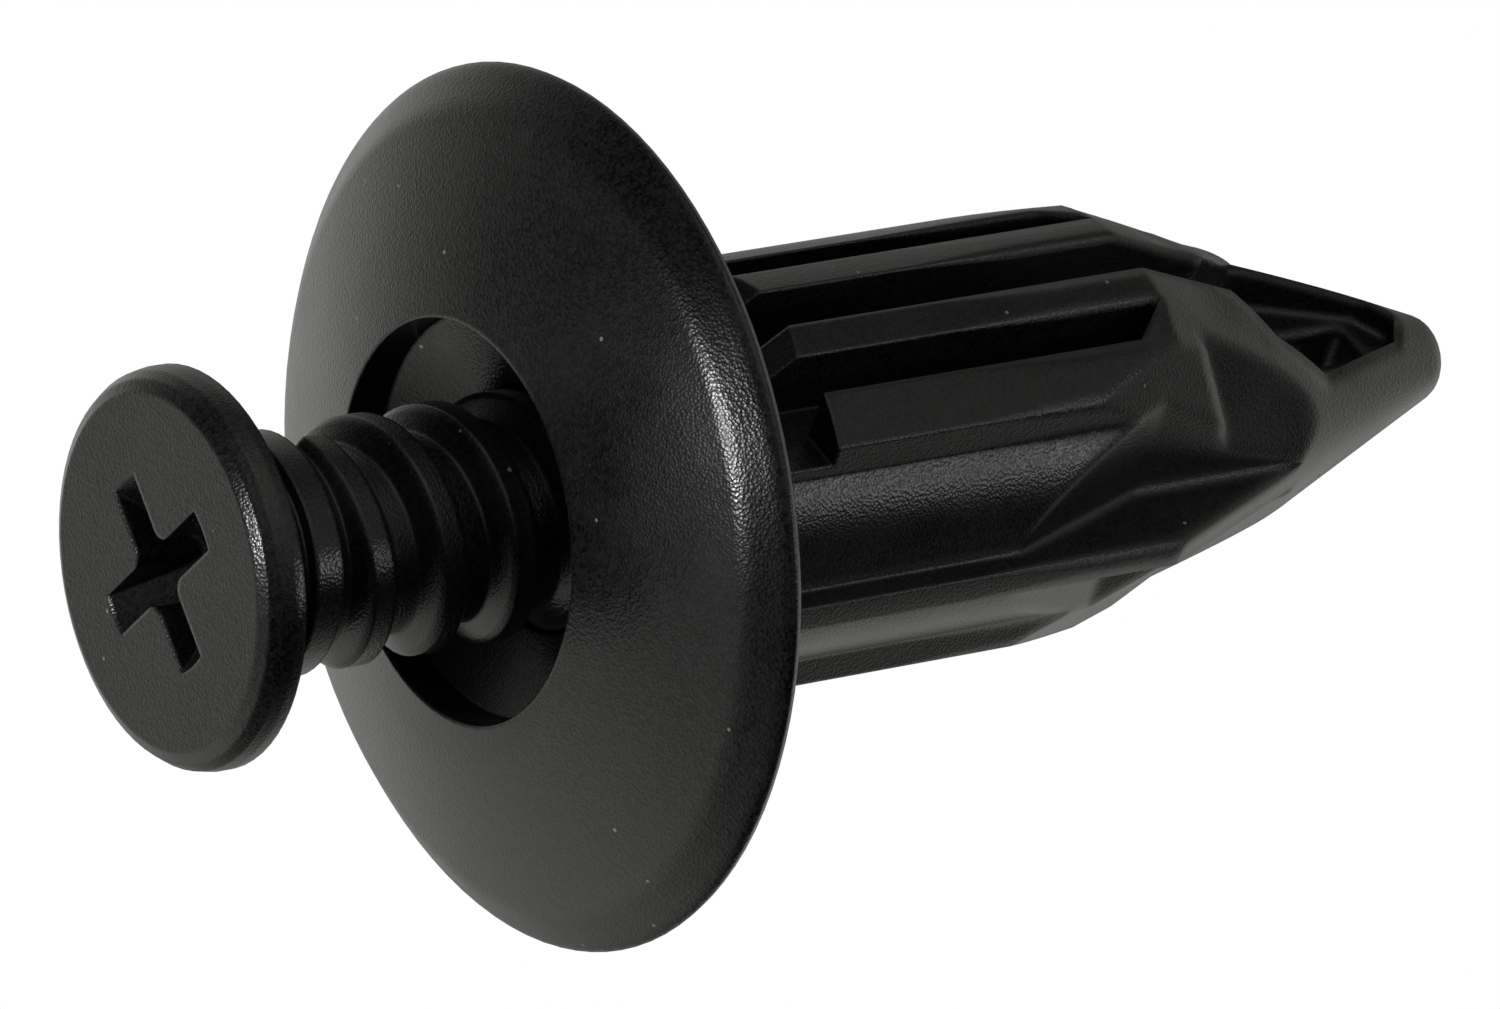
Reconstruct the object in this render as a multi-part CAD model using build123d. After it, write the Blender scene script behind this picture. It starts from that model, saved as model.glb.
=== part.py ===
from build123d import *
import os
from math import cos, radians, sin, sqrt

# Screw-type panel retainer, in millimetres. It stands on the outer face of its screw's head, with Z
# from that face up the axis to the pointed tip. X lies in the slot that splits the shank into two
# legs, and Y points across the slot, through the middle of each leg.

# Flange
flange_diameter = 20.0
flange_rise = 2.2  # from the mouth of the head pocket down to the flange's widest circle
flange_wall = 1.25  # at the rim
hollow_draft = 0.4  # how much the hollow under the flange narrows from the land to its roof
hollow_depth = 1.5  # from the mouth of the head pocket to the root of that hollow
dome_slope = 30.0  # of the domed front where it meets the rolled rim
rim_round = 0.5
rim_depth = 0.15  # from the widest circle to the face that meets the panel
seat_land = 1.3  # width of the flat ring that meets the panel
collar_length = 1.9  # solid neck below the flange, inside the panel's hole

# Screw
head_diameter = 8.98
head_edge = 0.7  # height of the rounded edge of the head
head_edge_width = 0.5
head_edge_curve = ((0.55, 0.2), (0.88, 0.55))  # points of that edge, in shares of its width and height
head_rim = 0.25  # straight edge of the head
neck_drop = 1.25  # height of the countersunk underside
neck_diameter = 4.9
neck_length = 0.15
thread_collar = 0.7
thread_diameter = 5.5
thread_depth = 0.55
thread_pitch = 1.88
thread_turns = 5.0
crest_share = 0.40  # share of the pitch that the thread's crest takes up
root_share = 0.30
crest_round = 0.12
thread_sink = 0.15  # how far the thread's foot runs into the core
thread_start = 164.0  # from X to where the thread begins
lead_taper = 1.5
pin_diameter = 2.7
pin_length = 7.2
pin_chamfer = 0.5
backed_out = 7.8  # how far the head's face stands off the flange, as shown

# Cross recess in the head
recess_span = 4.55
recess_width = 0.95
recess_corner = 0.35
recess_depth = 1.9
recess_foot = 1.3  # span of the recess at its floor
recess_turn = 25.5

# Shank and legs
stem_length = 24.85  # from the panel face to the tip
stem_diameter = 9.86
skin_step = 0.54  # how far the ribs stand off the leg's skin
slot_width = 1.2
edge_rib = 0.85
groove_width = 0.88
side_rib = 1.06
keel_width = 0.7
inner_wall = 0.35  # least wall between a groove's floor and the bore
running_clearance = 0.07
head_clearance = 0.09

# Hollows at the root of each leg
relief_end = 4.75  # from the panel face to the start of the side ribs
edge_relief = 0.95  # how much lower the edge rib is beside the hollow
relief_slope = 1.1  # length of the edge rib's ramp

# Nose
nose_length = 10.35  # from the start of the cone to the tip
tip_radius = 0.88
tip_round = 0.6
pocket_floor = 3.13  # from the axis to the flat floor of a leg's pocket
pocket_start = 14.7  # from the start of the pocket's ramp to the tip
pocket_foot = 10.7  # from the foot of the ramp to the tip
bevel_start = 12.9  # from the tip to where the bevel first meets the side rib
bevel_turn = 23.8  # of the way that the bevel faces, from Y towards X
bevel_lean = 11.7  # of the way that the bevel faces, towards the tip
step_start = 9.6  # from the tip to the outer end of the step down from the bevel
step_angle = 25.5  # from X to that end of the step
step_lean = 67.8
lower_lean = 6.7  # of the lower bevel beyond the step
groove_stop = 10.3  # from the long end of the grooves to the tip
groove_skew = 1.0  # how much sooner a groove ends beside the side rib
window_start = 7.4
window_shoulder = 6.5
window_wide = 5.0
window_narrow = 1.9
window_end = 1.4
window_shoulder_half = 1.6
window_wide_half = 2.04
window_narrow_half = 0.8
window_floor = 0.8  # from the axis to the floor of the window
slot_end = 2.4
pin_room = 0.3  # free length beyond the pin when the screw is home

# Heights and radii that follow
flange_r = flange_diameter / 2
head_r = head_diameter / 2
thread_r = thread_diameter / 2
root_r = thread_r - thread_depth
pin_r = pin_diameter / 2
neck_r = neck_diameter / 2
stem_r = stem_diameter / 2
skin_r = stem_r - skin_step
bore_r = thread_r + running_clearance
pin_bore_r = pin_r + running_clearance
pocket_r = head_r + head_clearance

front_z = backed_out
rim_z = front_z + flange_rise
seat_z = rim_z + rim_depth
collar_z = seat_z + collar_length
tip_z = seat_z + stem_length

neck_z = head_edge + head_rim + neck_drop
collar_start_z = neck_z + neck_length
thread_z = collar_start_z + thread_collar
thread_end_z = thread_z + thread_turns * thread_pitch
lead_z = thread_end_z + lead_taper
pin_z = lead_z + pin_length

rib_in = slot_width / 2
rib_out = rib_in + edge_rib
groove_out = rib_out + groove_width
skin_in = groove_out + side_rib
groove_floor = sqrt(bore_r**2 - rib_in**2) + inner_wall
reach = 2 * flange_r  # longer than anything that it cuts


def revolved(points):
    """Solid of revolution about Z from radius and height pairs."""
    outline = Polyline(*[(r, 0, z) for r, z in points], close=True)
    return revolve(make_face(outline), Axis.Z)


def prism_along_y(points, y_from, y_to):
    """Solid whose outline lies in XZ, as X and height pairs, between two values of Y."""
    outline = Polyline(*[(x, y_from, z) for x, z in points], close=True)
    return extrude(make_face(outline), y_to - y_from, dir=(0, 1, 0))


def prism_along_x(points, x_from, x_to):
    """Solid whose outline lies in YZ, as Y and height pairs, between two values of X."""
    outline = Polyline(*[(x_from, y, z) for y, z in points], close=True)
    return extrude(make_face(outline), x_to - x_from, dir=(1, 0, 0))


def block(x_from, x_to, y_from, y_to, z_from, z_to):
    """Box between two corners."""
    middle = ((x_from + x_to) / 2, (y_from + y_to) / 2, (z_from + z_to) / 2)
    return Pos(*middle) * Box(x_to - x_from, y_to - y_from, z_to - z_from)


def both_sides(solid, plane):
    """A solid and its mirror image."""
    return solid + mirror(solid, plane)


def beyond(point, turn, lean):
    """All that lies beyond a plane. It faces from Y towards X by one angle and towards the tip by another."""
    turn, lean = radians(turn), radians(lean)
    facing = (sin(turn) * cos(lean), cos(turn) * cos(lean), sin(lean))
    return Plane(origin=point, z_dir=facing).location * Pos(0, 0, reach / 2) * Box(reach, reach, reach)


def flange():
    """Domed flange with a rolled rim, a hollow underside and a flat ring that meets the panel."""
    across, down = cos(radians(dome_slope)), sin(radians(dome_slope))
    mouth = (pocket_r, 0, front_z)
    shoulder = (flange_r - rim_round + rim_round * down, 0, rim_z - rim_round * across)
    widest = (flange_r, 0, rim_z)
    land_out = flange_r - rim_depth / 2
    land_in = land_out - seat_land
    outline = [
        TangentArc(shoulder, mouth, tangent=(-across, 0, -down)),
        TangentArc(shoulder, widest, tangent=(across, 0, down)),
        Polyline(
            widest, (land_out, 0, seat_z), (land_in, 0, seat_z),
            (land_in - hollow_draft, 0, rim_z - rim_round + flange_wall), (stem_r, 0, front_z + hollow_depth),
            (stem_r, 0, collar_z), (0, 0, collar_z), (0, 0, front_z), mouth,
        ),
    ]
    return revolve(make_face([edge for piece in outline for edge in piece.edges()]), Axis.Z)


def head_pocket():
    """Room for the screw: the countersunk seat of its head, the bore and the narrower pin bore."""
    floor_z = front_z + head_edge + head_rim + head_clearance
    seat_foot_z = floor_z + (pocket_r - bore_r) * neck_drop / (head_r - neck_r)
    home_thread_z = thread_end_z + backed_out + running_clearance
    home_lead_z = home_thread_z + lead_taper
    home_pin_z = pin_z + backed_out + pin_room
    return revolved([
        (0, front_z - flange_rise),
        (pocket_r, front_z - flange_rise),
        (pocket_r, floor_z),
        (bore_r, seat_foot_z),
        (bore_r, home_thread_z),
        (pin_bore_r, home_lead_z),
        (pin_bore_r, home_pin_z),
        (0, home_pin_z + pin_bore_r),
    ])


def leg_section():
    """Section of both legs: skin, edge ribs beside the slot, side ribs and the keel."""
    ribs = Rectangle(2 * stem_r, 2 * skin_in) + Rectangle(keel_width, 2 * stem_r)
    return Circle(skin_r) + (Circle(stem_r) & ribs)


def nose_envelope():
    """Outer limits of the shank: a cylinder, and the cone of the nose with its rounded tip."""
    envelope = revolved([
        (0, collar_z), (stem_r, collar_z), (stem_r, tip_z - nose_length), (tip_radius, tip_z), (0, tip_z),
    ])
    tip_edge = envelope.edges().group_by(Axis.Z)[-1]
    return fillet(tip_edge, tip_round)


def nose_pocket():
    """Pocket in the outer side of one leg, with stepped bevels and the keel left standing in its middle."""
    start_z = tip_z - pocket_start
    floor = prism_along_x([
        (skin_r, start_z), (reach, start_z), (reach, tip_z), (pocket_floor, tip_z),
        (pocket_floor, tip_z - pocket_foot),
    ], -reach, reach)
    corner = (sqrt(stem_r**2 - skin_in**2), skin_in, tip_z - bevel_start)
    step_r = tip_radius + (stem_r - tip_radius) * step_start / nose_length
    step_end = (step_r * cos(radians(step_angle)), step_r * sin(radians(step_angle)), tip_z - step_start)
    upper = beyond(corner, bevel_turn, bevel_lean)
    lower = beyond(step_end, bevel_turn, lower_lean) & beyond(step_end, bevel_turn + 90, step_lean)
    keel = block(-keel_width / 2, keel_width / 2, 0, reach, start_z - reach, tip_z)
    side = (upper + lower) & block(0, reach, 0, reach, collar_z, tip_z)
    return floor + both_sides(side, Plane.YZ) - keel


def side_groove():
    """Groove between the edge rib and the side rib, open to +X, with the hollow at its root."""
    root_z = seat_z + relief_end
    stop_z = tip_z - groove_stop
    groove = prism_along_x([
        (rib_out, collar_z), (groove_out, collar_z), (groove_out, stop_z - groove_skew), (rib_out, stop_z),
    ], groove_floor, reach)
    hollow = block(groove_floor, reach, rib_out, skin_in, collar_z, root_z)
    edge_x = stem_r - edge_relief
    ramp = prism_along_y([
        (edge_x, collar_z), (reach, collar_z), (reach, root_z),
        (stem_r, root_z), (edge_x, root_z - relief_slope),
    ], rib_in, rib_out)
    return groove + hollow + ramp


def slot_window():
    """Pointed window where the slot widens between the two legs at the nose, open to +X."""
    outline = [
        (rib_in, tip_z - window_start),
        (window_shoulder_half, tip_z - window_shoulder),
        (window_wide_half, tip_z - window_wide),
        (window_narrow_half, tip_z - window_narrow),
        (0, tip_z - window_end),
    ]
    mirrored = [(-y, z) for y, z in reversed(outline[:-1])]
    return prism_along_x(outline + mirrored, window_floor, reach)


def shank():
    """Split shank with two ribbed legs that join at the tip."""
    legs = Pos(0, 0, collar_z) * extrude(leg_section(), tip_z - collar_z)
    legs = legs & nose_envelope()
    legs -= both_sides(nose_pocket(), Plane.XZ)
    quarter = both_sides(side_groove(), Plane.XZ)
    legs -= both_sides(quarter + slot_window(), Plane.YZ)
    legs -= block(-reach, reach, -rib_in, rib_in, collar_z, tip_z - slot_end)
    return legs


def retainer_body():
    """Flange and legs, moulded as one piece."""
    return flange() + shank() - head_pocket()


def cross_recess():
    """Cross recess for a driver, narrowing towards its floor."""
    cross = Rectangle(recess_span, recess_width) + Rectangle(recess_width, recess_span)
    inner = cross.vertices().filter_by(lambda v: Vector(v.X, v.Y).length < recess_width)
    cross = fillet(inner, recess_corner)
    slots = extrude(cross, recess_depth, both=True)
    funnel = revolved([
        (0, -recess_depth), (recess_span, -recess_depth), (recess_span / 2, 0), (recess_foot / 2, recess_depth),
        (0, recess_depth),
    ])
    return Rot(0, 0, recess_turn) * (slots & funnel)


def thread():
    """Coarse thread as a swept ridge with rounded crests, sunk a little into the core."""
    half_root = (1 - root_share) * thread_pitch / 2
    half_crest = crest_share * thread_pitch / 2
    grow = thread_sink * (half_root - half_crest) / thread_depth
    upper_side = [
        (thread_r, half_crest - crest_round), (thread_r - crest_round, half_crest),
        (root_r - thread_sink, half_root + grow),
    ]
    lower_side = [(r, -z) for r, z in reversed(upper_side)]
    ridge = Polyline(*[(r, 0, z) for r, z in lower_side + upper_side], close=True)
    path = Helix(thread_pitch, (thread_turns - 1) * thread_pitch, root_r)
    swept = sweep(make_face(ridge), path=path, is_frenet=True)
    return Pos(0, 0, thread_z + half_root) * Rot(0, 0, thread_start) * swept


def screw():
    """Plastic screw with a countersunk head, a coarse thread and a plain pin."""
    edge_r = head_r - head_edge_width
    edge = [(edge_r + across * head_edge_width, up * head_edge) for across, up in head_edge_curve]
    core = revolved([
        (0, 0), (edge_r, 0), *edge, (head_r, head_edge), (head_r, head_edge + head_rim),
        (neck_r, neck_z), (neck_r, collar_start_z), (thread_r, collar_start_z), (thread_r, thread_z),
        (root_r, thread_z + thread_depth), (root_r, thread_end_z), (pin_r, lead_z),
        (pin_r, pin_z - pin_chamfer), (pin_r - pin_chamfer, pin_z), (0, pin_z),
    ])
    return core + thread() - cross_recess()


nodes = {"retainer_body": retainer_body, "expander_screw": screw}

os.makedirs("parts", exist_ok=True)
for name, make in nodes.items():
    export_step(make(), f"parts/{name}.step")
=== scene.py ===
import math

import bmesh
import bpy
from bpy.props import FloatProperty, FloatVectorProperty, PointerProperty
from mathutils import Matrix, Vector


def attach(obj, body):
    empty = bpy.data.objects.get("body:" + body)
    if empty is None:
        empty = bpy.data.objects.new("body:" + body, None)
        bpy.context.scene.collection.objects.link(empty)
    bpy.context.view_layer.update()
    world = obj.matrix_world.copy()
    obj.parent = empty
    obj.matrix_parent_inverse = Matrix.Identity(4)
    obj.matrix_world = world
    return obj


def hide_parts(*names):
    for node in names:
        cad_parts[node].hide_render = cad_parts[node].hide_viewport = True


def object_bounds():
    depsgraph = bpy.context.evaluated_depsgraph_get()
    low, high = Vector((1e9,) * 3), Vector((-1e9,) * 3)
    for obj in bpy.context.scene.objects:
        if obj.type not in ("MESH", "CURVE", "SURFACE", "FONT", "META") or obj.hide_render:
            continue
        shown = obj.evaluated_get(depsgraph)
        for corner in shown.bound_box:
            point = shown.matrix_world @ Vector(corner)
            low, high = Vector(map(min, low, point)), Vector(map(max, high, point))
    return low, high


bl_info = {
    "name": "Screw-type panel retainer",
    "version": (1, 0, 0),
    "blender": (4, 5, 0),
    "location": "3D View > Sidebar > Retainer",
    "description": "Finishes the moulded retainer and its screw, and sets up a plain studio around them",
    "category": "Object",
}

MM = 0.001
SAME = 0.002 * MM  # points nearer to each other than this are one point

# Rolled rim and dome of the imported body, where they meet
PACKED_RIM_ROUND = 0.5 * MM
PACKED_DOME_SLOPE = math.radians(30)
# Line that parts the flange's front from the rest of the body, over the mouth of the head pocket
FRONT_LIFT = 0.15 * MM
FRONT_CLIMB = 0.42
RING_CROWDING = 1.8  # above 1, the front's rings stand closer together towards the rim

# Patterns of the moulded skin
EDGE_TURN = (0.995, 0.85)  # cosine of the rounding's turn where an edge's wear starts and where it is full
EDGE_WEAR = 0.5
CLOUD_SIZE = 2.6 * MM
SCUFF_RANGE = (0.45, 0.8)  # part of the cloud pattern that is scuffed
SCUFF_STRENGTH = 0.35
GLOSS_RANGE = (0.3, 0.7)  # part of the cloud pattern over which the gloss drifts
GLOSS_DRIFT = 0.04
NOSE_BLEND = 3 * MM  # height over which the creases turn from crisp to soft
MOTTLE = (0.1, 2.3)  # darkest and palest crater, in shares of the plastic's own colour
DUST_SPACING = 1.1 * MM
DUST_SPECK = (0.055, 0.035)  # radius of a speck and of its solid middle, in shares of the spacing
DUST_SHARE = 0.5  # of the places where a speck may lie
DUST_ROUGHNESS = 0.8

LIGHT_COLOUR = "#fffffb"
LIGHT_FALLOFF = 8  # power of the cosine by which a soft light fades to its sides
# Each soft light's direction, as the camera's right, up and forward, and its strength
SOFT_LIGHTS = (
    ("front", (0.29, 0.22, -0.93), 0.3),
    ("front_right", (0.85, 0.3, -0.4), 0.3),
    ("table_near_left", (-0.85, -0.48, -0.22), 0.3),
    ("table_left", (-0.9, -0.22, 0.37), 0.16),
    ("table_below_left", (-0.68, -0.66, 0.32), 0.62),
    ("table_behind", (0.42, -0.52, 0.74), 0.75),
    ("wall_above", (0.1, 0.8, 0.58), 0.3),
    ("wall_above_left", (-0.45, 0.7, 0.56), 0.35),
    ("high_front", (0.2, 0.76, -0.62), 0.6),
    ("wall_right", (0.82, 0.12, 0.56), 0.7),
    ("wall_behind", (-0.52, 0.08, 0.85), 0.8),
)
# Each lamp's direction, its width and distance in millimetres, and its power in watts
LAMPS = (
    ("key", (-0.77, -0.03, -0.64), 18, 300, 0.36),
    ("side_window", (0.94, -0.13, -0.31), 60, 300, 0.055),
)
FLOOR_GAP = 0.05 * MM  # between the floor and the face of the screw's head

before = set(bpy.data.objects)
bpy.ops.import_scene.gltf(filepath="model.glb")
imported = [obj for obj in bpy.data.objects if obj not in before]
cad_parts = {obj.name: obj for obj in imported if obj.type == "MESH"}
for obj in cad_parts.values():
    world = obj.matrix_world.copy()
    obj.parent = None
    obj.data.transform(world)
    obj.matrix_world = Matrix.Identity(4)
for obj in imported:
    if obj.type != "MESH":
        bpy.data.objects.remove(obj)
cad_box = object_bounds()


def linear(code):
    """An sRGB colour written as a hex code, as linear red, green and blue."""
    channels = [int(code[i:i + 2], 16) / 255 for i in (1, 3, 5)]
    return tuple(c / 12.92 if c <= 0.04045 else ((c + 0.055) / 1.055) ** 2.4 for c in channels)


def add(tree, kind, links=(), **settings):
    """Adds a node with its settings and links. A setting named after an input sets that input's value."""
    node = tree.nodes.new(kind)
    for name, value in settings.items():
        label = name.replace("_", " ")
        if label in node.inputs:
            node.inputs[label].default_value = value
        else:
            setattr(node, name, value)
    for name, source in dict(links).items():
        tree.links.new(source, node.inputs[name])
    return node


class FlangeShape(bpy.types.PropertyGroup):
    """Section of the flange's front, from the mouth of the head pocket out to the rolled rim."""

    mouth_slope: FloatProperty(
        name="Slope at the mouth", description="How far the dome leans back where it starts",
        subtype="ANGLE", default=math.radians(13),
    )
    knee_slope: FloatProperty(
        name="Slope at the knee", description="Lean of the dome just inside its knee",
        subtype="ANGLE", default=math.radians(21.5),
    )
    rim_slope: FloatProperty(
        name="Slope of the rim", description="Lean of the ring between knee and edge",
        subtype="ANGLE", default=math.radians(37),
    )
    knee_inset: FloatProperty(
        name="Knee inset", description="From the flange's edge in to the knee",
        unit="LENGTH", default=0.9 * MM,
    )
    knee_width: FloatProperty(
        name="Knee width", description="Width over which the knee turns",
        unit="LENGTH", default=0.25 * MM,
    )
    edge_round: FloatProperty(
        name="Edge round", description="Width of the rounding at the very edge",
        unit="LENGTH", default=0.28 * MM,
    )


class MouldedFinish(bpy.types.PropertyGroup):
    """Colours and grain of a black moulded plastic."""

    colour: FloatVectorProperty(
        name="Colour", description="Plastic's own colour",
        subtype="COLOR", size=3, default=linear("#131413"),
    )
    pale: FloatVectorProperty(
        name="Worn colour", description="Colour of rubbed edges and scuffs",
        subtype="COLOR", size=3, default=linear("#2a2b29"),
    )
    dust: FloatVectorProperty(
        name="Dust", description="Colour of dust specks",
        subtype="COLOR", size=3, default=linear("#8d8f8a"),
    )
    grain: FloatProperty(
        name="Grain", description="Width of the mould's spark-eroded craters",
        unit="LENGTH", default=0.075 * MM,
    )
    grain_depth: FloatProperty(
        name="Grain depth", description="Height of the grain",
        unit="LENGTH", default=0.006 * MM,
    )
    edge: FloatProperty(
        name="Edge round", description="Radius that the mould leaves on each edge",
        unit="LENGTH", default=0.14 * MM,
    )
    nose_edge: FloatProperty(
        name="Nose round", description="Radius of the softer creases between the nose's facets",
        unit="LENGTH", default=0.5 * MM,
    )
    nose_start: FloatProperty(
        name="Nose start", description="Height at which the softer creases begin",
        unit="LENGTH", default=19 * MM,
    )
    roughness: FloatProperty(
        name="Roughness", description="Mean roughness of the skin",
        subtype="FACTOR", default=0.25, min=0.0, max=1.0,
    )


class StudioSettings(bpy.types.PropertyGroup):
    """Sizes of the studio and place of the camera."""

    floor_size: FloatProperty(
        name="Floor", description="Width of the square floor",
        unit="LENGTH", default=2.0, min=0.1, max=20.0,
    )
    floor_colour: FloatVectorProperty(
        name="Floor colour", description="Pale floor",
        subtype="COLOR", size=3, default=linear("#f2f2f2"),
    )
    floor_glow: FloatProperty(
        name="Floor glow", description="Light that keeps the floor pale to the camera",
        default=0.62, min=0.0, max=1.0,
    )
    camera_aim: FloatVectorProperty(
        name="Aim", description="Point that the camera looks at",
        subtype="TRANSLATION", unit="LENGTH", size=3, default=(0.516 * MM, -0.516 * MM, 15.63 * MM),
    )
    camera_distance: FloatProperty(
        name="Camera distance", description="From the aim to the camera",
        unit="LENGTH", default=281 * MM, min=0.05, max=5.0,
    )
    camera_azimuth: FloatProperty(
        name="Azimuth", description="Camera's angle round the part",
        subtype="ANGLE", default=math.radians(-45),
    )
    camera_elevation: FloatProperty(
        name="Elevation", description="Camera's height above the horizon",
        subtype="ANGLE", default=math.radians(-33.9),
    )
    camera_roll: FloatProperty(
        name="Roll", description="Turn of the camera about its own line of sight",
        subtype="ANGLE", default=math.radians(80.15),
    )
    lens: FloatProperty(
        name="Lens", description="Focal length on a 36 mm sensor",
        unit="CAMERA", default=300.0, min=10.0, max=600.0,
    )


def soft_edges(tree, place, finish):
    """Normal with each edge rounded, the nose's creases the most, and how near to an edge a point lies."""
    height = add(tree, "ShaderNodeSeparateXYZ", {"Vector": place}).outputs["Z"]
    radius = add(
        tree, "ShaderNodeMapRange", {"Value": height}, From_Min=finish.nose_start,
        From_Max=finish.nose_start + NOSE_BLEND, To_Min=finish.edge, To_Max=finish.nose_edge,
    )
    rounded = add(tree, "ShaderNodeBevel", {"Radius": radius.outputs[0]}, samples=8).outputs["Normal"]
    flat = add(tree, "ShaderNodeNewGeometry").outputs["Normal"]
    turned = add(tree, "ShaderNodeVectorMath", {0: rounded, 1: flat}, operation="DOT_PRODUCT")
    edge = add(
        tree, "ShaderNodeMapRange", {"Value": turned.outputs["Value"]}, From_Min=EDGE_TURN[0],
        From_Max=EDGE_TURN[1], To_Max=EDGE_WEAR,
    )
    return rounded, edge.outputs[0]


def dust_specks(tree, place):
    """Mask of small round specks, with some of their places left empty."""
    cells = add(tree, "ShaderNodeTexVoronoi", {"Vector": place}, Scale=1 / DUST_SPACING)
    near = add(
        tree, "ShaderNodeMapRange", {"Value": cells.outputs["Distance"]}, From_Min=DUST_SPECK[0],
        From_Max=DUST_SPECK[1],
    )
    draw = add(tree, "ShaderNodeSeparateColor", {"Color": cells.outputs["Color"]})
    some = add(tree, "ShaderNodeMath", {0: draw.outputs[0]}, operation="GREATER_THAN")
    some.inputs[1].default_value = 1 - DUST_SHARE
    speck = add(tree, "ShaderNodeMath", {0: near.outputs[0], 1: some.outputs[0]}, operation="MULTIPLY")
    return speck.outputs[0]


def moulded_plastic(name, finish):
    """Black engineering plastic as it leaves a spark-eroded mould.

    Its grain of small craters breaks each highlight into fine glints and mottles the black. Every edge is
    slightly round and rubbed a shade paler, and the creases of the nose are softer still. The gloss drifts
    a little from place to place, and a few pale dust specks lie on it. Real craters of this kind are 0.02
    to 0.05 mm wide, too fine to show here, so they are drawn about twice as wide.
    """
    material = bpy.data.materials.new(name)
    material.use_nodes = True
    tree = material.node_tree
    tree.nodes.clear()
    place = add(tree, "ShaderNodeTexCoord").outputs["Object"]
    rounded, edge = soft_edges(tree, place, finish)
    speck = dust_specks(tree, place)

    cloud = add(
        tree, "ShaderNodeTexNoise", {"Vector": place}, Scale=1 / CLOUD_SIZE, Detail=3.0, Roughness=0.55,
    )
    scuff = add(
        tree, "ShaderNodeMapRange", {"Value": cloud.outputs["Fac"]}, From_Min=SCUFF_RANGE[0],
        From_Max=SCUFF_RANGE[1], To_Max=SCUFF_STRENGTH,
    )
    worn = add(tree, "ShaderNodeMath", {0: edge, 1: scuff.outputs[0]}, operation="MAXIMUM")
    craters = add(tree, "ShaderNodeTexVoronoi", {"Vector": place}, Scale=1 / finish.grain)
    tone = add(tree, "ShaderNodeSeparateColor", {"Color": craters.outputs["Color"]}).outputs[0]
    mottle = add(tree, "ShaderNodeMapRange", {"Value": tone}, To_Min=MOTTLE[0], To_Max=MOTTLE[1])
    black = add(tree, "ShaderNodeVectorMath", {"Scale": mottle.outputs[0]}, operation="SCALE")
    black.inputs[0].default_value = finish.colour
    skin = add(tree, "ShaderNodeMix", {"Factor": worn.outputs[0], "A": black.outputs[0]}, data_type="RGBA")
    skin.inputs["B"].default_value = (*finish.pale, 1)
    dusty = add(tree, "ShaderNodeMix", {"Factor": speck, "A": skin.outputs["Result"]}, data_type="RGBA")
    dusty.inputs["B"].default_value = (*finish.dust, 1)

    gloss = add(
        tree, "ShaderNodeMapRange", {"Value": cloud.outputs["Fac"]},
        From_Min=GLOSS_RANGE[0], From_Max=GLOSS_RANGE[1],
        To_Min=finish.roughness - GLOSS_DRIFT, To_Max=finish.roughness + GLOSS_DRIFT,
    )
    dull = add(tree, "ShaderNodeMix", {"Factor": speck, "A": gloss.outputs[0]}, data_type="FLOAT")
    dull.inputs["B"].default_value = DUST_ROUGHNESS
    bump = add(
        tree, "ShaderNodeBump", {"Height": craters.outputs["Distance"], "Normal": rounded}, Strength=1.0,
        Distance=finish.grain_depth,
    )
    surface = add(
        tree, "ShaderNodeBsdfPrincipled",
        {
            "Base Color": dusty.outputs["Result"],
            "Roughness": dull.outputs["Result"],
            "Normal": bump.outputs[0],
        },
        IOR=1.5,
    )
    add(tree, "ShaderNodeOutputMaterial", {"Surface": surface.outputs[0]})
    return material


def cover(node_name, material):
    """Gives a CAD node this one material."""
    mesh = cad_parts[node_name].data
    mesh.materials.clear()
    mesh.materials.append(material)


def merged_copy(node_name, name):
    """Closed mesh with a CAD node's faces, and the normals of its corners."""
    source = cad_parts[node_name].data
    normals = [Vector(corner.vector) for corner in source.corner_normals]
    work = bmesh.new()
    work.from_mesh(source)
    bmesh.ops.remove_doubles(work, verts=work.verts, dist=SAME)
    mesh = bpy.data.meshes.new(name)
    work.to_mesh(mesh)
    work.free()
    if len(mesh.polygons) != len(source.polygons):
        raise RuntimeError(f"{node_name} lost faces in the merge")
    return mesh, normals


def front_section(shape, mouth, edge):
    """The flange's front as a function from a radius to the height there and the lean of the surface."""
    start, knee, rim = (math.tan(a) for a in (shape.mouth_slope, shape.knee_slope, shape.rim_slope))
    knee_r = edge[0] - shape.knee_inset
    bow = (knee - start) / (2 * (knee_r - mouth[0]))

    def section(radius):
        out = radius - mouth[0]
        past = min(max((radius - knee_r) / shape.knee_width + 0.5, 0), 1)
        rest = max((radius - knee_r) / shape.knee_width - 0.5, 0)
        turned = shape.knee_width * (past * past / 2 + rest)
        height = mouth[1] + out * start + out * out * bow + (rim - knee) * turned
        return height, math.atan(start + 2 * out * bow + (rim - knee) * past)

    return section


def edge_curve(shape, section, edge):
    """The rounding at the flange's edge, as a function from a share of it to radius, height and lean."""
    start_r = edge[0] - shape.edge_round
    start_z, start_lean = section(start_r)
    start = Vector((start_r, start_z))
    corner = Vector((edge[0], start_z + shape.edge_round * math.tan(start_lean)))
    end = Vector(edge)

    def curve(share):
        point = (1 - share) ** 2 * start + 2 * share * (1 - share) * corner + share * share * end
        along = (1 - share) * (corner - start) + share * (end - corner)
        return point.x, point.y, math.atan2(along.y, along.x)

    return curve


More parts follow.
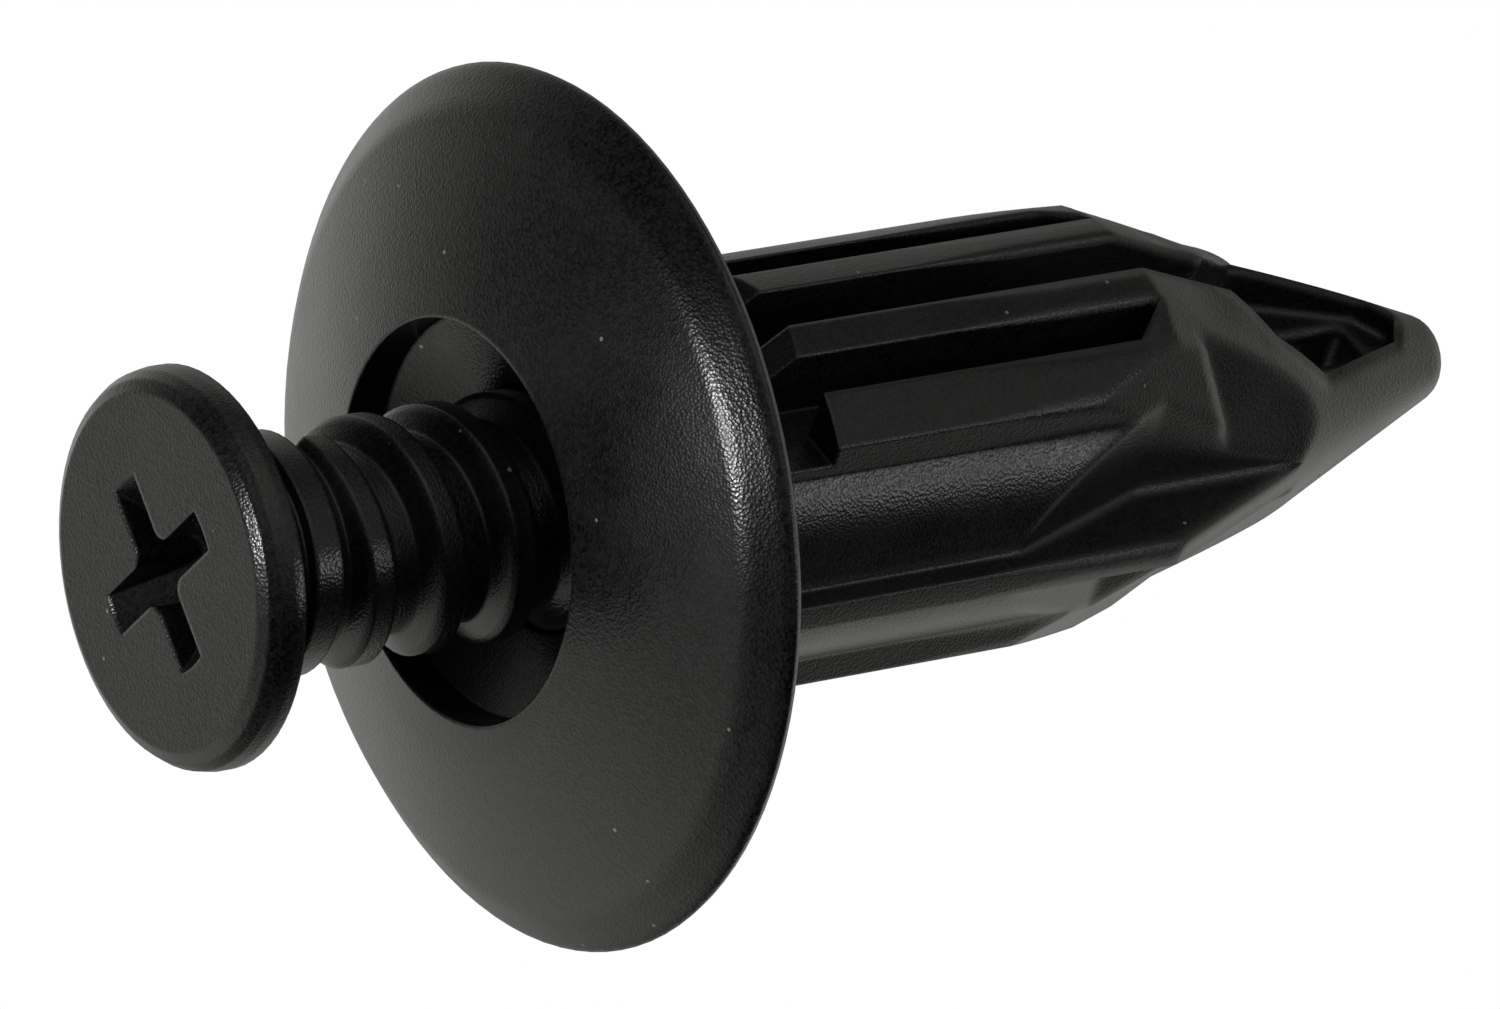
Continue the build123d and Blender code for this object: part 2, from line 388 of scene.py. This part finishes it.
def reshape_front(mesh, normals, shape):
    """Moves the vertices of the flange's front to its true section. Each corner there gets its normal."""
    radius = [Vector(v.co.xy).length for v in mesh.vertices]
    height = [v.co.z for v in mesh.vertices]
    edge = max(zip(radius, height))
    mouth_z = min(height)
    mouth_r = min(r for r, z in zip(radius, height) if z < mouth_z + SAME)
    section = front_section(shape, (mouth_r, mouth_z), edge)
    curve = edge_curve(shape, section, edge)
    round_r = edge[0] - shape.edge_round
    packed_r = edge[0] - PACKED_RIM_ROUND * (1 - math.sin(PACKED_DOME_SLOPE))
    packed_z = edge[1] - PACKED_RIM_ROUND * math.cos(PACKED_DOME_SLOPE)

    leans = {}
    for vertex, r, z in zip(mesh.vertices, radius, height):
        if r > edge[0] - SAME and abs(z - edge[1]) < SAME:
            leans[vertex.index] = math.radians(90)
            continue
        highest = min(edge[1] - SAME, mouth_z + FRONT_LIFT + (r - mouth_r) * FRONT_CLIMB)
        if r < mouth_r - SAME or z > highest:
            continue
        if r < packed_r + SAME:
            way = (r - mouth_r) / (packed_r - mouth_r)
            new_r = mouth_r + (round_r - mouth_r) * (1 - max(1 - way, 0) ** RING_CROWDING)
            new_z, lean = section(new_r)
        else:
            new_r, new_z, lean = curve((z - packed_z) / (edge[1] - packed_z))
        vertex.co = (vertex.co.x * new_r / r, vertex.co.y * new_r / r, new_z)
        leans[vertex.index] = lean

    for face in mesh.polygons:
        if all(v in leans for v in face.vertices):
            for corner in face.loop_indices:
                vertex = mesh.vertices[mesh.loops[corner].vertex_index]
                lean = leans[vertex.index]
                outward = Vector((vertex.co.x, vertex.co.y, 0)).normalized() * math.sin(lean)
                normals[corner] = outward - Vector((0, 0, math.cos(lean)))


class RETAINER_OT_shape_body(bpy.types.Operator):
    """Build the visible body: the legs as they are, and the flange's front with its knee and rolled rim"""

    bl_idname = "retainer.shape_body"
    bl_label = "Build the body"

    def execute(self, context):
        mesh, normals = merged_copy("retainer_body", "moulded_body")
        reshape_front(mesh, normals, context.scene.retainer_flange)
        for face in mesh.polygons:
            face.use_smooth = True
        mesh.normals_split_custom_set(normals)
        body = bpy.data.objects.new("moulded_body", mesh)
        context.scene.collection.objects.link(body)
        mesh.materials.append(moulded_plastic("nylon_moulded_black", context.scene.retainer_body_finish))
        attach(body, "body")
        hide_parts("retainer_body")
        return {"FINISHED"}


class RETAINER_OT_finish_screw(bpy.types.Operator):
    """Give the screw its moulded acetal finish"""

    bl_idname = "retainer.finish_screw"
    bl_label = "Finish the screw"

    def execute(self, context):
        finish = context.scene.retainer_screw_finish
        cover("expander_screw", moulded_plastic("acetal_moulded_black", finish))
        return {"FINISHED"}


def aimed(location, target, roll=0.0):
    """World matrix of a camera or lamp at a place, looking at a target, turned about its line of sight."""
    back = (location - target).normalized()
    turn = back.to_track_quat("Z", "Y").to_matrix()
    spin = Matrix.Rotation(roll, 3, "Z")
    return Matrix.Translation(location) @ (turn @ spin).to_4x4()


def photo_camera(studio):
    """Camera at the photograph's angle: from below and beside the head, rolled until the shank lies down."""
    scene = bpy.context.scene
    lens = bpy.data.cameras.new("camera")
    lens.lens = studio.lens
    lens.sensor_width = 36.0
    lens.clip_start = 0.01
    lens.clip_end = 10.0
    camera = bpy.data.objects.new("camera", lens)
    scene.collection.objects.link(camera)
    aim = Vector(studio.camera_aim)
    azimuth, elevation = studio.camera_azimuth, studio.camera_elevation
    level = math.cos(elevation)
    back = Vector((math.sin(azimuth) * level, -math.cos(azimuth) * level, math.sin(elevation)))
    camera.matrix_world = aimed(aim + back * studio.camera_distance, aim, studio.camera_roll)
    scene.camera = camera


def camera_direction(right, up, forward):
    """Direction in the part's frame of one given by the camera's right, up and forward."""
    turn = bpy.context.scene.camera.matrix_world.to_3x3()
    return turn @ Vector((right, up, -forward)).normalized()


def pale_world(scene):
    """World that is white to the camera. To the part it is soft lights, each named for its place."""
    world = bpy.data.worlds.new("pale_studio")
    scene.world = world
    world.use_nodes = True
    tree = world.node_tree
    tree.nodes.clear()
    direction = add(tree, "ShaderNodeTexCoord").outputs["Generated"]
    total = None
    for name, toward, strength in SOFT_LIGHTS:
        facing = add(tree, "ShaderNodeVectorMath", {0: direction}, operation="DOT_PRODUCT", name=name)
        facing.inputs[1].default_value = camera_direction(*toward)
        front = add(tree, "ShaderNodeMath", {0: facing.outputs["Value"]}, operation="MAXIMUM")
        front.inputs[1].default_value = 0
        soft = add(tree, "ShaderNodeMath", {0: front.outputs[0]}, operation="POWER")
        soft.inputs[1].default_value = LIGHT_FALLOFF
        level = add(tree, "ShaderNodeMath", {0: soft.outputs[0]}, operation="MULTIPLY")
        level.inputs[1].default_value = strength
        if total:
            level = add(tree, "ShaderNodeMath", {0: level.outputs[0], 1: total}, operation="ADD")
        total = level.outputs[0]
    light = add(tree, "ShaderNodeBackground", {"Strength": total}, Color=(*linear(LIGHT_COLOUR), 1))
    white = add(tree, "ShaderNodeBackground", Color=(1, 1, 1, 1), Strength=1.0)
    rays = add(tree, "ShaderNodeLightPath")
    seen = rays.outputs["Is Camera Ray"]
    mixed = add(tree, "ShaderNodeMixShader", {0: seen, 1: light.outputs[0], 2: white.outputs[0]})
    add(tree, "ShaderNodeOutputWorld", {"Surface": mixed.outputs[0]})


def one_sided_floor(studio):
    """Pale floor under the screw's head. It is clear from below, because the camera looks up past it.

    It takes the part's shadow, but it sends no light to the part and keeps none from it. The face of the
    screw's head lies just over it, and would be black.
    """
    material = bpy.data.materials.new("paper_pale_matt")
    material.use_nodes = True
    tree = material.node_tree
    tree.nodes.clear()
    back = add(tree, "ShaderNodeNewGeometry").outputs["Backfacing"]
    paper = add(tree, "ShaderNodeBsdfDiffuse", Color=(*studio.floor_colour, 1))
    glow = add(tree, "ShaderNodeEmission", Strength=studio.floor_glow)
    pale = add(tree, "ShaderNodeAddShader", {0: paper.outputs[0], 1: glow.outputs[0]})
    clear = add(tree, "ShaderNodeBsdfTransparent")
    mixed = add(tree, "ShaderNodeMixShader", {0: back, 1: pale.outputs[0], 2: clear.outputs[0]})
    add(tree, "ShaderNodeOutputMaterial", {"Surface": mixed.outputs[0]})

    low = cad_box[0].z - FLOOR_GAP
    half = studio.floor_size / 2
    corners = [(-half, -half, low), (half, -half, low), (half, half, low), (-half, half, low)]
    mesh = bpy.data.meshes.new("floor")
    mesh.from_pydata(corners, [], [(0, 1, 2, 3)])
    mesh.materials.append(material)
    floor = bpy.data.objects.new("floor", mesh)
    bpy.context.scene.collection.objects.link(floor)
    floor.visible_diffuse = False
    floor.visible_glossy = False
    floor.visible_shadow = False


def lamp(name, toward, size_mm, distance_mm, watts):
    """Soft square lamp in a direction from the part, given in the camera's right, up and forward."""
    centre = (cad_box[0] + cad_box[1]) / 2
    light = bpy.data.lights.new(name, "AREA")
    light.shape = "SQUARE"
    light.size = size_mm * MM
    light.energy = watts
    holder = bpy.data.objects.new(name, light)
    bpy.context.scene.collection.objects.link(holder)
    holder.matrix_world = aimed(centre + camera_direction(*toward) * distance_mm * MM, centre)
    holder.visible_camera = False


class RETAINER_OT_stage(bpy.types.Operator):
    """Set up the camera, the pale world, the floor and the lamps"""

    bl_idname = "retainer.stage"
    bl_label = "Set up the stage"

    def execute(self, context):
        studio = context.scene.retainer_studio
        context.scene.view_settings.view_transform = "Standard"
        photo_camera(studio)
        pale_world(context.scene)
        one_sided_floor(studio)
        for settings in LAMPS:
            lamp(*settings)
        return {"FINISHED"}


class RETAINER_PT_panel(bpy.types.Panel):
    """Lists the steps that build the scene, and their settings"""

    bl_idname = "RETAINER_PT_panel"
    bl_label = "Panel retainer"
    bl_space_type = "VIEW_3D"
    bl_region_type = "UI"
    bl_category = "Retainer"

    def draw(self, context):
        for step in STEPS:
            self.layout.operator(step.bl_idname)
        for group in GROUPS:
            settings = getattr(context.scene, group)
            box = self.layout.box()
            for name in settings.__annotations__:
                box.prop(settings, name)


GROUPS = {
    "retainer_flange": FlangeShape,
    "retainer_body_finish": MouldedFinish,
    "retainer_screw_finish": MouldedFinish,
    "retainer_studio": StudioSettings,
}
STEPS = (RETAINER_OT_shape_body, RETAINER_OT_finish_screw, RETAINER_OT_stage)
CLASSES = (FlangeShape, MouldedFinish, StudioSettings, *STEPS, RETAINER_PT_panel)


def register():
    for cls in CLASSES:
        bpy.utils.register_class(cls)
    for name, group in GROUPS.items():
        setattr(bpy.types.Scene, name, PointerProperty(type=group))


def unregister():
    for name in GROUPS:
        delattr(bpy.types.Scene, name)
    for cls in reversed(CLASSES):
        bpy.utils.unregister_class(cls)


def main():
    register()
    bpy.ops.retainer.shape_body()
    bpy.ops.retainer.finish_screw()
    bpy.ops.retainer.stage()


if __name__ == "__main__":
    main()
